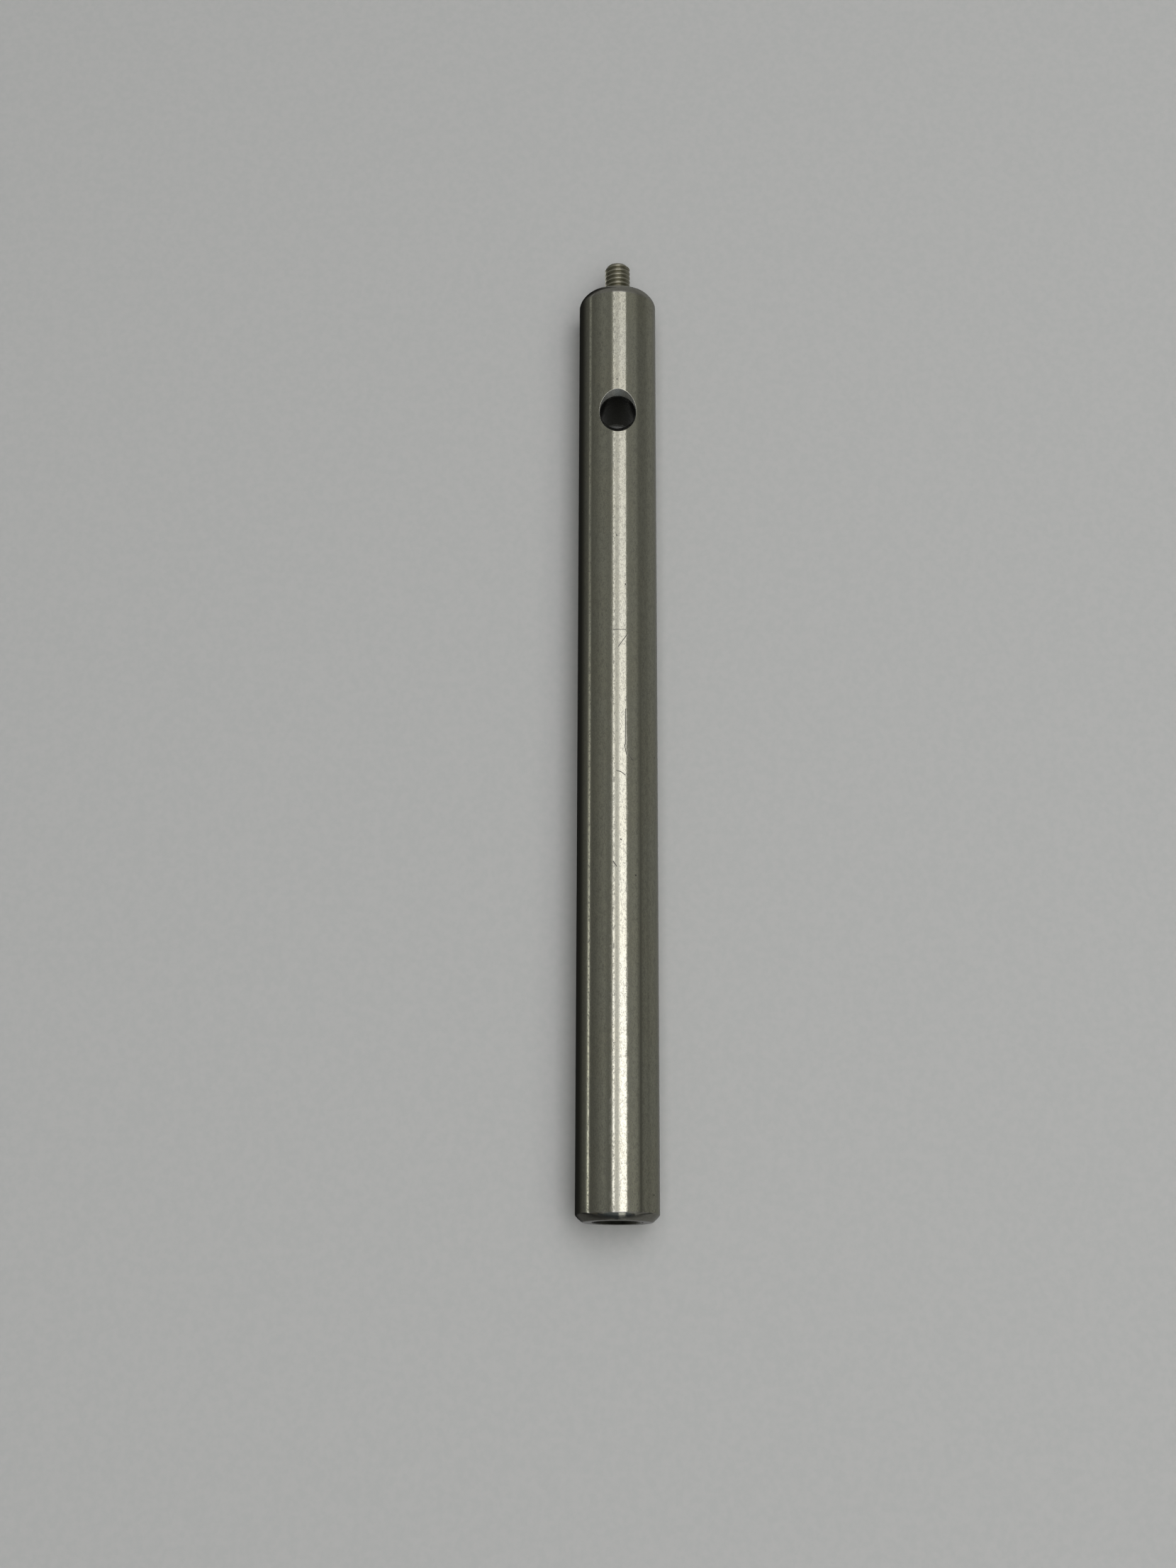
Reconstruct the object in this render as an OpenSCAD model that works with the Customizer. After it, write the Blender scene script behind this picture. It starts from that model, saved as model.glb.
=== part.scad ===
// Optical post: a half-inch stainless bar that carries laboratory optics.
// The bar stands on its flat lower end, which has a countersunk tapped hole.
// A headless set screw stands out of the upper end, and a countersunk hole for a
// turning bar crosses the bar below it.
// Origin: centre of the lower end face. +Z runs up the bar, the cross hole lies along Y.
// Threads are plain cylinders: at the major diameter where they are free, and at
// the pitch diameter where the screw sits in its hole.

/* [Bar] */
// Outside diameter of the bar
bar_d = 12.7; // [12:0.05:16]
// Length of the bar, without the screw
bar_len = 152.4; // [75:0.1:305]
// Leg of the 45 degree chamfer around the lower end
base_chamfer = 1.05; // [0.3:0.05:1.5]
// How far the worn bevel around the upper end reaches down the bar
top_bevel_len = 1.45; // [0.5:0.05:2.5]
// How far the worn bevel cuts in from the side of the bar
top_bevel_depth = 0.9; // [0.3:0.05:1.5]
// How much the worn bevel bulges out from a straight cone
top_bevel_crown = 0.13; // [0.02:0.01:0.3]

/* [Lower tapped hole] */
// Major diameter of the lower thread, a quarter inch with 20 threads an inch
base_thread_d = 6.35; // [5:0.05:7]
// Depth of the full thread from the lower face
base_thread_depth = 12.7; // [6:0.1:20]
// Diameter of the tap drill
base_drill_d = 5.1; // [3.5:0.05:5.9]
// Depth of the tap drill's straight wall from the lower face
base_drill_depth = 16.5; // [13.5:0.1:26]
// Diameter of the countersunk mouth
base_mouth_d = 7.8; // [7.1:0.05:8.6]

/* [Set screw] */
// Major diameter of the screw thread, number 8 with 32 threads an inch
screw_d = 4.166; // [3.6:0.002:4.8]
// Radial height from the pitch line of the thread to its crest
screw_crest = 0.258; // [0.2:0.002:0.3]
// Length of the screw
screw_len = 12.7; // [9.5:0.05:16]
// How far the screw stands out of the bar
screw_out = 6.35; // [3:0.05:8]
// Leg of the 45 degree chamfer around the socket end
screw_chamfer = 0.5; // [0.2:0.05:0.7]
// Width of the hexagon socket across its flats
socket_af = 1.98; // [1.5:0.01:2.2]
// Depth of the hexagon socket's flat sides
socket_depth = 2.1; // [1.2:0.05:3]
// Diameter of the hollow cup in the buried end
cup_d = 2.1; // [1:0.05:2.4]

/* [Upper tapped hole] */
// Radial gap between the screw and its hole at the pitch line
pitch_gap = 0.02; // [0.01:0.01:0.05]
// Thread left free under the buried end of the screw
screw_spare = 1.6; // [0.5:0.1:4]
// Diameter of the tap drill
top_drill_d = 3.45; // [2.6:0.05:3.5]
// Straight wall of the tap drill below the last thread
top_drill_run = 2; // [0.5:0.1:4]
// How far the countersunk mouth stands clear of the thread's crest
top_mouth_margin = 0.25; // [0.1:0.05:0.5]

/* [Cross hole] */
// Diameter of the cross hole
cross_d = 5.8; // [4:0.05:6.4]
// Distance from the upper end face down to the cross hole's centre
cross_drop = 23.1; // [22:0.1:35]
// Diameter of the countersunk mouths, measured on the side of the bar
cross_mouth_d = 7.6; // [7.4:0.05:8.4]

/* [Hidden] */
// Facets of the preview; every round wall above twelve is a true circle in the solid
$fn = 96;
// Full angle of a drill's point and of the cup in the screw
drill_point = 118;
// Number of sides of the socket
hexagon = 6;
// Steps along the crowned bevel
bevel_steps = 6;
// How far a cutting tool overshoots an open face
over = 1;

bar_r = bar_d / 2;
screw_r = screw_d / 2;
screw_pitch_r = screw_r - screw_crest;
screw_buried = screw_len - screw_out;
top_thread_r = screw_pitch_r + pitch_gap;
top_thread_depth = screw_buried + screw_spare;
top_drill_depth = top_thread_depth + top_drill_run;
top_mouth_d = screw_d + 2 * top_mouth_margin;
cross_z = bar_len - cross_drop;
socket_corner_r = socket_af / 2 / cos(180 / hexagon);

// Height of a cone whose half angle is half of the drill's point
function point_len(r) = r / tan(drill_point / 2);

// Points of an arc over the chord from p to q that bulges by rise on the right-hand side
function crowned(p, q, rise, steps) =
    let (
        chord = norm(q - p),
        radius = (chord * chord / 4 + rise * rise) / (2 * rise),
        along = (q - p) / chord,
        out = [along[1], -along[0]],
        centre = (p + q) / 2 + out * (rise - radius),
        half = asin(chord / 2 / radius)
    )
    [for (i = [0 : steps])
        let (a = half * (2 * i / steps - 1))
        centre + radius * (along * sin(a) + out * cos(a))];

// Half section of the bar, turned around its axis
module bar_blank() {
    bevel = crowned(
        [bar_r, bar_len - top_bevel_len],
        [bar_r - top_bevel_depth, bar_len],
        top_bevel_crown,
        bevel_steps
    );
    rotate_extrude()
        polygon(concat(
            [[0, 0], [bar_r - base_chamfer, 0], [bar_r, base_chamfer]],
            bevel,
            [[0, bar_len]]
        ));
}

// Tapped blind hole with its mouth at the origin, running up the +Z axis:
// countersink, thread, tap drill and drill point
module tapped_hole(thread_r, thread_depth, drill_r, drill_depth, mouth_r) {
    mouth_depth = mouth_r - thread_r;
    rotate_extrude()
        polygon([
            [0, -over],
            [mouth_r, -over],
            [mouth_r, 0],
            [thread_r, mouth_depth],
            [thread_r, thread_depth],
            [drill_r, thread_depth],
            [drill_r, drill_depth],
            [0, drill_depth + point_len(drill_r)]
        ]);
}

// Hole right across the bar along Y, with a 90 degree countersink on each side
module cross_hole() {
    r = cross_d / 2;
    mouth_r = cross_mouth_d / 2;
    sink = mouth_r - r;
    translate([0, 0, cross_z])
        rotate([90, 0, 0])
            rotate_extrude()
                polygon([
                    [0, -bar_r - over],
                    [mouth_r + over, -bar_r - over],
                    [r, sink - bar_r],
                    [r, bar_r - sink],
                    [mouth_r + over, bar_r + over],
                    [0, bar_r + over]
                ]);
}

// The bar: one turned and drilled piece
module post_body() {
    color("silver")
        difference() {
            bar_blank();
            tapped_hole(
                base_thread_d / 2,
                base_thread_depth,
                base_drill_d / 2,
                base_drill_depth,
                base_mouth_d / 2
            );
            translate([0, 0, bar_len])
                mirror([0, 0, 1])
                    tapped_hole(
                        top_thread_r,
                        top_thread_depth,
                        top_drill_d / 2,
                        top_drill_depth,
                        top_mouth_d / 2
                    );
            cross_hole();
        }
}

// Hexagon socket with its mouth at the origin, running down the -Z axis:
// lead-in cone, flat sides and drill point
module hex_socket() {
    lead_in = socket_corner_r - socket_af / 2;
    translate([0, 0, -socket_depth])
        cylinder(r = socket_corner_r, h = socket_depth + over, $fn = hexagon);
    rotate_extrude()
        polygon([
            [0, over],
            [socket_corner_r + over, over],
            [socket_corner_r - lead_in, -lead_in],
            [0, -lead_in]
        ]);
    rotate_extrude()
        polygon([
            [0, -socket_depth],
            [socket_af / 2, -socket_depth],
            [0, -socket_depth - point_len(socket_af / 2)]
        ]);
}

// The headless screw: socket end up, cup end buried in the bar
module set_screw() {
    low = bar_len - screw_buried;
    high = bar_len + screw_out;
    cup_r = cup_d / 2;
    point_leg = screw_pitch_r - cup_r;
    color("darkgray")
        difference() {
            rotate_extrude()
                polygon([
                    [0, low + point_len(cup_r)],
                    [cup_r, low],
                    [screw_pitch_r, low + point_leg],
                    [screw_pitch_r, bar_len],
                    [screw_r, bar_len],
                    [screw_r, high - screw_chamfer],
                    [screw_r - screw_chamfer, high],
                    [0, high]
                ]);
            translate([0, 0, high])
                hex_socket();
        }
}

post_body();
set_screw();
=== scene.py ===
"""Optical post: a ground stainless bar, tapped at both ends and drilled across near its top,
with a cup point set screw standing in the top hole."""

import math

import bmesh
import bpy
from mathutils import Matrix, Vector


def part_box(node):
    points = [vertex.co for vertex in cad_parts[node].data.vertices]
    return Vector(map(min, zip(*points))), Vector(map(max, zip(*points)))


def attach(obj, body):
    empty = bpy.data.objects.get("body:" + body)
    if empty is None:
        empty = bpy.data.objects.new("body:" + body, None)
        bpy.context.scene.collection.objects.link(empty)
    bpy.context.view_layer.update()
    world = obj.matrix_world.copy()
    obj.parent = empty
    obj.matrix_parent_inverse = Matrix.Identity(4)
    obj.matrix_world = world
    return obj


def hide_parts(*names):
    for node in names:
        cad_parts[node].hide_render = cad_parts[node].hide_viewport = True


MM = 0.001
INCH = 25.4 * MM
MICROMETRE = 1e-6

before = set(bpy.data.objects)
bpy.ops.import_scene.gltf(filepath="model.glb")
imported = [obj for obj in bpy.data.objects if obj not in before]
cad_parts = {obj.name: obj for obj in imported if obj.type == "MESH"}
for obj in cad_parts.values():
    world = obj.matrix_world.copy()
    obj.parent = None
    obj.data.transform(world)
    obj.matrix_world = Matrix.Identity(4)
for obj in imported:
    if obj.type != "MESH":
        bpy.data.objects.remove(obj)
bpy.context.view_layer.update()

# ---- sizes --------------------------------------------------------------------------------
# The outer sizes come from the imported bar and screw. The rest are what their solids were
# made to, and the sizes of the threads and of the worn edges.

_, bar_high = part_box("post_body")
screw_low, screw_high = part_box("set_screw")

# slope of the drill points and of the screw's cup, which are cones of 118 degrees
POINT_SLOPE = math.tan(math.radians(118 / 2))

BAR_RADIUS = bar_high.x
BAR_TOP = bar_high.z
BASE_CHAMFER = 1.05 * MM
BASE_CHAMFER_CROWN = 0.05 * MM
TOP_BEVEL_LENGTH = 1.45 * MM
TOP_BEVEL_DEPTH = 0.9 * MM
TOP_BEVEL_CROWN = 0.13 * MM
CROSS_HOLE_HEIGHT = BAR_TOP - 23.1 * MM
CROSS_HOLE_RADIUS = 2.9 * MM
CROSS_MOUTH_RADIUS = 3.8 * MM

SCREW_RADIUS = screw_high.x
SCREW_PITCH = INCH / 32
SCREW_THREAD_DEPTH = 0.36 * MM
SCREW_TIP_CHAMFER = 0.5 * MM
SCREW_HELD_RADIUS = SCREW_RADIUS - 0.258 * MM  # at its pitch line
SCREW_CUP_RADIUS = 1.05 * MM
SOCKET_FLATS = 1.98 * MM
SOCKET_DEPTH = 2.1 * MM
TOP_MOUTH_RADIUS = SCREW_RADIUS + 0.25 * MM
TOP_BORE_DEPTH = BAR_TOP - screw_low.z + 1.6 * MM  # with some thread to spare
TOP_DRILL_RADIUS = 1.725 * MM
TOP_DRILL_DEPTH = TOP_BORE_DEPTH + 2.0 * MM

BASE_BORE_RADIUS = INCH / 8
BASE_BORE_DEPTH = INCH / 2
BASE_MOUTH_RADIUS = 3.9 * MM
BASE_MOUTH_DEPTH = BASE_MOUTH_RADIUS - BASE_BORE_RADIUS
BASE_DRILL_RADIUS = 2.55 * MM
BASE_DRILL_DEPTH = 16.5 * MM
BASE_THREAD_PITCH = INCH / 20
BASE_THREAD_DEPTH = 0.58 * MM
BASE_THREAD_END = BASE_BORE_DEPTH - 0.05 * MM

# gap between the screw and its hole, and metal of the lower thread behind its roots
THREAD_GAP = 0.02 * MM
ROOT_WALL = 0.02 * MM
# where a flank starts and ends, in pitches from the middle of the root
FLANK_START, FLANK_END = 0.08, 0.39

# facets round the bar, the cross drill, a thread and a cutting cone, and rows to a pitch
BAR_SIDES = 288
DRILL_SIDES = 160
THREAD_SIDES = 96
CONE_SIDES = 48
THREAD_ROWS = 16
# points closer than this are one point
WELD = 0.0005 * MM

# how far the finishes soften the rims of the holes and the edges cut in the lathe
HOLE_RIM = 0.12 * MM
LATHE_EDGE = 0.1 * MM

# handling scratches: start and end, in millimetres round from the front and up the bar,
# and half width
SCRATCHES = (
    ((-0.74, 91.34), (1.28, 91.38), 0.09), ((0.04, 88.48), (1.40, 90.44), 0.09),
    ((-0.18, 68.15), (0.48, 67.99), 0.10), ((0.48, 67.99), (1.15, 67.50), 0.10),
    ((1.72, 70.86), (2.30, 69.99), 0.08), ((-0.72, 53.72), (-0.17, 52.93), 0.10),
    ((1.21, 78.21), (1.21, 72.43), 0.08), ((1.04, 72.42), (1.37, 70.83), 0.09),
    ((1.20, 99.10), (1.28, 98.95), 0.14), ((0.45, 57.25), (0.51, 57.10), 0.13),
    ((-0.20, 107.40), (-0.15, 107.26), 0.13), ((7.15, 71.25), (7.20, 71.39), 0.13),
)

MATH = "ShaderNodeMath"
VECTOR_MATH = "ShaderNodeVectorMath"
MAP_RANGE = "ShaderNodeMapRange"
MIX = "ShaderNodeMix"
NOISE = "ShaderNodeTexNoise"


def add(tree, kind, links=None, values=None, stops=(), **props):
    """Adds a node with its incoming links, socket values, grey ramp stops and properties.
    A node given as a link's source stands for its first output."""
    made = tree.nodes.new(kind)
    for name, value in props.items():
        setattr(made, name, value)
    for socket, value in (values or {}).items():
        made.inputs[socket].default_value = value
    for socket, source in (links or {}).items():
        source = source.outputs[0] if hasattr(source, "outputs") else source
        tree.links.new(source, made.inputs[socket])
    for at, _ in stops[2:]:
        made.color_ramp.elements.new(at)
    for k, (at, grey) in enumerate(stops):
        made.color_ramp.elements[k].position = at
        made.color_ramp.elements[k].color = (grey, grey, grey, 1.0)
    return made


def srgb(code):
    """An sRGB hex colour as linear RGBA."""
    parts = [int(code[i:i + 2], 16) / 255 for i in (1, 3, 5)]
    linear = [v / 12.92 if v <= 0.04045 else ((v + 0.055) / 1.055) ** 2.4 for v in parts]
    return (*linear, 1.0)


def into_scene(name, data):
    """A new object in the scene, at the origin."""
    made = bpy.data.objects.new(name, data)
    bpy.context.scene.collection.objects.link(made)
    return made


def keep_result(piece, modifier):
    """Runs a piece's modifier, keeps the result as its plain mesh and removes the modifier."""
    bpy.context.view_layer.update()
    done = piece.evaluated_get(bpy.context.evaluated_depsgraph_get())
    mesh = bpy.data.meshes.new_from_object(done)
    piece.modifiers.remove(modifier)
    piece.data = mesh
    return mesh


# ---- camera -------------------------------------------------------------------------------

def place_camera():
    """A close view of the bar from in front of and just below its foot."""
    camera = into_scene("camera", bpy.data.cameras.new("camera"))
    camera.data.sensor_width = 36.0
    camera.data.lens = 48.165
    turn, tilt, roll = (math.radians(a) for a in (0.308, 15.980, 0.2333))
    place = Vector((-2.932, -317.64, -23.172)) * MM
    aim = Matrix.Rotation(turn, 4, "Z") @ Matrix.Rotation(math.pi / 2 + tilt, 4, "X")
    aim = aim @ Matrix.Rotation(roll, 4, "Z")
    camera.matrix_world = Matrix.Translation(place) @ aim
    bpy.context.scene.camera = camera


# ---- the bar ------------------------------------------------------------------------------

def broken_edges(outline, radii, steps=4):
    """The outline, as (radius, height) points, with its corners rounded by small radii."""
    rounded = []
    for i, (corner, radius) in enumerate(zip(outline, radii)):
        if not radius:
            rounded.append(corner)
            continue
        corner = Vector(corner)
        before = (Vector(outline[i - 1]) - corner).normalized()
        after = (Vector(outline[i + 1]) - corner).normalized()
        half = before.angle(after) / 2
        middle = corner + (before + after).normalized() * radius / math.sin(half)
        first = corner + before * radius / math.tan(half) - middle
        final = corner + after * radius / math.tan(half) - middle
        for k in range(steps + 1):
            ray = first.lerp(final, k / steps)
            rounded.append(tuple(middle + ray.normalized() * radius))
    return rounded


def crowned(start, end, rise, steps=8):
    """Points of a shallow arc from start to end that stands out by rise from the chord."""
    start, end = Vector(start), Vector(end)
    chord = (end - start).length
    radius = (chord ** 2 / 4 + rise ** 2) / (2 * rise)
    along = (end - start) / chord
    out = Vector((along.y, -along.x))
    centre = (start + end) / 2 + out * (rise - radius)
    half = math.asin(chord / 2 / radius)
    turns = [half * (2 * k / steps - 1) for k in range(steps + 1)]
    return [tuple(centre + radius * (along * math.sin(a) + out * math.cos(a))) for a in turns]


def turned(name, outline, sides):
    """A solid turned from its outline, which runs from the axis out and back to the axis."""
    made = bmesh.new()
    rings = []
    for radius, height in outline:
        if not radius:
            rings.append([made.verts.new((0, 0, height))] * sides)
            continue
        angles = (math.tau * k / sides for k in range(sides))
        rings.append([made.verts.new((radius * math.cos(a), radius * math.sin(a), height))
                      for a in angles])
    for lower, upper in zip(rings, rings[1:]):
        for k in range(sides):
            n = (k + 1) % sides
            corners = [lower[k], lower[n], upper[n], upper[k]]
            made.faces.new(list(dict.fromkeys(corners)))
    bmesh.ops.recalc_face_normals(made, faces=made.faces)
    mesh = bpy.data.meshes.new(name)
    made.to_mesh(mesh)
    made.free()
    return into_scene(name, mesh)


def cross_drill():
    """The cross hole's cutter: a drill with a 90 degree countersink at each side."""
    radius, mouth = CROSS_HOLE_RADIUS, CROSS_MOUTH_RADIUS
    over = 1.0 * MM
    sink = BAR_RADIUS - (mouth - radius)
    half = [(radius, sink), (mouth + over, BAR_RADIUS + over), (0.0, BAR_RADIUS + over)]
    outline = [(r, -h) for r, h in reversed(half)] + half
    drill = turned("cross_drill", outline, DRILL_SIDES)
    aim = Matrix.Translation((0, 0, CROSS_HOLE_HEIGHT)) @ Matrix.Rotation(math.pi / 2, 4, "X")
    drill.data.transform(aim)
    return drill


def bar_outline():
    """The bar's half section, from the lower drill point round its side to the upper one,
    with its edges broken as on the real one."""
    end = BAR_TOP
    held = SCREW_HELD_RADIUS + THREAD_GAP
    mouth = TOP_MOUTH_RADIUS
    lower = [
        (0.0, BASE_DRILL_DEPTH + BASE_DRILL_RADIUS / POINT_SLOPE),
        (BASE_DRILL_RADIUS, BASE_DRILL_DEPTH), (BASE_DRILL_RADIUS, BASE_BORE_DEPTH),
        (BASE_BORE_RADIUS, BASE_BORE_DEPTH), (BASE_BORE_RADIUS, BASE_MOUTH_DEPTH),
        (BASE_MOUTH_RADIUS, 0.0),
    ]
    chamfer = crowned((BAR_RADIUS - BASE_CHAMFER, 0.0), (BAR_RADIUS, BASE_CHAMFER),
                      BASE_CHAMFER_CROWN, steps=6)
    bevel = crowned((BAR_RADIUS, end - TOP_BEVEL_LENGTH), (BAR_RADIUS - TOP_BEVEL_DEPTH, end),
                    TOP_BEVEL_CROWN)
    upper = [
        (mouth, end), (held, end - (mouth - held)), (held, end - TOP_BORE_DEPTH),
        (TOP_DRILL_RADIUS, end - TOP_BORE_DEPTH), (TOP_DRILL_RADIUS, end - TOP_DRILL_DEPTH),
        (0.0, end - TOP_DRILL_DEPTH - TOP_DRILL_RADIUS / POINT_SLOPE),
    ]
    outline = lower + chamfer + bevel + upper
    mouth_edge, face_edge = len(lower) - 1, len(lower)
    side_foot, side_head = face_edge + len(chamfer) - 1, face_edge + len(chamfer)
    top_edge = side_head + len(bevel) - 1
    small, rubbed, worn, rolled = 0.06 * MM, 0.15 * MM, 0.35 * MM, 1.5 * MM
    radii = [0.0] * len(outline)
    radii[mouth_edge], radii[face_edge], radii[side_foot] = small, rubbed, worn
    radii[side_head], radii[top_edge], radii[top_edge + 1] = rolled, small, small
    return broken_edges(outline, radii)


def finish_faces(mesh, finishes):
    """Gives the faces their finishes, which come in this order: the ground side, the faces
    cut in the lathe, and the holes."""
    ground, lathe_cut, drilled = range(3)
    side_radius = 0.9998 * BAR_RADIUS
    mouth_reach = 1.02 * CROSS_MOUTH_RADIUS
    mesh.materials.clear()
    for finish in finishes:
        mesh.materials.append(finish)
    for face in mesh.polygons:
        centre = face.center
        out = math.hypot(centre.x, centre.y)
        off_drill = math.hypot(centre.x, centre.z - CROSS_HOLE_HEIGHT)
        mouth = BASE_MOUTH_RADIUS if centre.z < BAR_TOP / 2 else TOP_MOUTH_RADIUS
        if out > side_radius and centre.z > BASE_CHAMFER:
            face.material_index = ground
        elif out < mouth or off_drill < mouth_reach:
            face.material_index = drilled
        else:
            face.material_index = lathe_cut


def bar(finishes):
    """The whole bar as one turned and drilled solid."""
    sharp = math.radians(28)
    piece = turned("post_bar", bar_outline(), BAR_SIDES)
    drill = cross_drill()
    cut = piece.modifiers.new("cross", "BOOLEAN")
    cut.operation = "DIFFERENCE"
    cut.solver = "EXACT"
    cut.object = drill
    mesh = keep_result(piece, cut)
    bpy.data.objects.remove(drill)
    finish_faces(mesh, finishes)
    mesh.shade_smooth()
    mesh.set_sharp_from_angle(angle=sharp)
    weigh = piece.modifiers.new("weigh", "WEIGHTED_NORMAL")
    weigh.keep_sharp = True
    mesh = keep_result(piece, weigh)
    mesh.name = "post_bar"
    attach(piece, "root")
    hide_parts("post_body")


# ---- threads and the set screw ------------------------------------------------------------

THREAD_SIZES = (
    ("Pitch", "Float"), ("Foot", "Float"), ("Tip", "Float"), ("Root Radius", "Float"),
    ("Depth", "Float"), ("Outward", "Float"), ("Foot Lead", "Float"), ("Tip Lead", "Float"),
    ("Seat", "Float"), ("Seat Lead", "Float"), ("Held Height", "Float"),
    ("Closing Radius", "Float"), ("Wall Rows", "Int"), ("Sides", "Int"), ("Rows", "Int"),
)
SCREW_SIZES = THREAD_SIZES + (
    ("Socket Flats", "Float"), ("Socket Depth", "Float"), ("Cup Radius", "Float"),
)


def new_tree(name, sizes):
    """An empty geometry tree with the named inputs and one geometry output."""
    tree = bpy.data.node_groups.new(name, "GeometryNodeTree")
    for label, kind in sizes:
        tree.interface.new_socket(name=label, in_out="INPUT", socket_type="NodeSocket" + kind)
    tree.interface.new_socket(name="Geometry", in_out="OUTPUT", socket_type="NodeSocketGeometry")
    return tree, add(tree, "NodeGroupInput").outputs


def thread_radius(tree, size, turn, height):
    """The thread's radius where it has made a part of a turn and reached a height."""
    # form: straight flanks with flat crests and roots
    rise = add(tree, MATH, {0: height, 1: size["Foot"]}, operation="SUBTRACT")
    phase = add(tree, MATH, {0: rise, 1: size["Pitch"]}, operation="DIVIDE")
    phase = add(tree, MATH, {0: phase, 1: turn}, operation="SUBTRACT")
    phase = add(tree, MATH, {0: phase}, {1: 0.5}, operation="PINGPONG")
    crest = add(tree, MAP_RANGE, {"Value": phase, "To Max": size["Depth"]},
                {"From Min": FLANK_START, "From Max": FLANK_END})

    # chamfers at the ends, and the hold below the seat
    foot_lead = add(tree, MATH, {0: rise, 1: size["Foot Lead"]}, operation="ADD")
    tip_lead = add(tree, MATH, {0: size["Tip"], 1: height}, operation="SUBTRACT")
    tip_lead = add(tree, MATH, {0: tip_lead, 1: size["Tip Lead"]}, operation="ADD")
    hold = add(tree, MATH, {0: height, 1: size["Seat"]}, operation="SUBTRACT")
    hold = add(tree, MATH, {0: hold, 1: size["Seat Lead"]}, operation="ADD")
    hold = add(tree, MATH, {0: hold, 1: size["Held Height"]}, operation="MAXIMUM")
    for limit in (foot_lead, tip_lead, hold):
        crest = add(tree, MATH, {0: crest, 1: limit}, operation="MINIMUM")
    return add(tree, MATH, {0: crest, 1: size["Outward"], 2: size["Root Radius"]},
               operation="MULTIPLY_ADD")


def thread_tree():
    """One closed right-handed thread, whose rows climb with the helix.

    Foot and Tip are the heights of its ends. Depth goes from the root to the crest, outwards
    at 1 or inwards at -1. A lead is the thread's height where a 45 degree chamfer meets that
    end. Below Seat the crest is held to Held Height. The ends close on Closing Radius, and
    one wall row joins them there."""
    tree, size = new_tree("thread", THREAD_SIZES)

    # rows: those of the length and one more turn, two that close the ends, and the wall's
    turns = add(tree, MATH, {0: size["Tip"], 1: size["Foot"]}, operation="SUBTRACT")
    turns = add(tree, MATH, {0: turns, 1: size["Pitch"]}, operation="DIVIDE")
    turns = add(tree, MATH, {0: turns}, {1: 1.0}, operation="ADD")
    rows = add(tree, MATH, {0: turns, 1: size["Rows"]}, operation="MULTIPLY")
    rows = add(tree, MATH, {0: rows}, operation="CEIL")
    last = add(tree, MATH, {0: rows}, {1: 2.0}, operation="ADD")
    top_row = add(tree, MATH, {0: last, 1: size["Wall Rows"]}, operation="ADD")
    count = add(tree, MATH, {0: top_row}, {1: 1.0}, operation="ADD")
    columns = add(tree, MATH, {0: size["Sides"]}, {1: 1.0}, operation="ADD")
    grid = add(tree, "GeometryNodeMeshGrid", {"Vertices X": columns, "Vertices Y": count},
               {"Size X": 1.0, "Size Y": 1.0})

    place = add(tree, "GeometryNodeInputPosition")
    place = add(tree, "ShaderNodeSeparateXYZ", {0: place})
    turn = add(tree, MATH, {0: place.outputs["X"]}, {1: 0.5}, operation="ADD")
    row = add(tree, MATH, {0: place.outputs["Y"]}, {1: 0.5}, operation="ADD")
    row = add(tree, MATH, {0: row, 1: top_row}, operation="MULTIPLY")

    # height: the rows climb one pitch a turn and stop at the two ends
    step = add(tree, MATH, {0: row}, {1: 1.0}, operation="SUBTRACT")
    step = add(tree, MATH, {0: step, 1: size["Rows"]}, operation="DIVIDE")
    step = add(tree, MATH, {0: step, 1: turn}, operation="ADD")
    step = add(tree, MATH, {0: step}, {1: 1.0}, operation="SUBTRACT")
    climb = add(tree, MATH, {0: step, 1: size["Pitch"], 2: size["Foot"]},
                operation="MULTIPLY_ADD")
    height = add(tree, "ShaderNodeClamp",
                 {"Value": climb, "Min": size["Foot"], "Max": size["Tip"]})
    beyond = add(tree, MATH, {0: last}, {1: 0.5}, operation="ADD")
    beyond = add(tree, MATH, {0: row, 1: beyond}, operation="GREATER_THAN")
    height = add(tree, MIX, {"Factor": beyond, "A": height, "B": size["Foot"]})

    # radius: the first and last rows close the ends
    radius = thread_radius(tree, size, turn, height)
    first = add(tree, MATH, {0: row}, {1: 0.5}, operation="LESS_THAN")
    end = add(tree, MATH, {0: last}, {1: 0.5}, operation="SUBTRACT")
    end = add(tree, MATH, {0: row, 1: end}, operation="GREATER_THAN")
    closing = add(tree, MATH, {0: first, 1: end}, operation="MAXIMUM")
    radius = add(tree, MIX, {"Factor": closing, "A": radius, "B": size["Closing Radius"]})

    # the grid's points go to their angles, radii and heights, and its seams close
    angle = add(tree, MATH, {0: turn}, {1: math.tau}, operation="MULTIPLY")
    across = add(tree, MATH, {0: angle}, operation="COSINE")
    across = add(tree, MATH, {0: across, 1: radius}, operation="MULTIPLY")
    back = add(tree, MATH, {0: angle}, operation="SINE")
    back = add(tree, MATH, {0: back, 1: radius}, operation="MULTIPLY")
    point = add(tree, "ShaderNodeCombineXYZ", {"X": across, "Y": back, "Z": height})
    skin = add(tree, "GeometryNodeSetPosition", {"Geometry": grid, "Position": point})
    skin = add(tree, "GeometryNodeMergeByDistance", {"Geometry": skin}, {"Distance": WELD})
    add(tree, "NodeGroupOutput", {"Geometry": skin})
    return tree


def thread_inside(tree, thread, size):
    """The thread tree as one node of a tree that has the same named inputs."""
    inner = tree.nodes.new("GeometryNodeGroup")
    inner.node_tree = thread
    for label, _ in THREAD_SIZES:
        tree.links.new(size[label], inner.inputs[label])
    return inner


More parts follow.
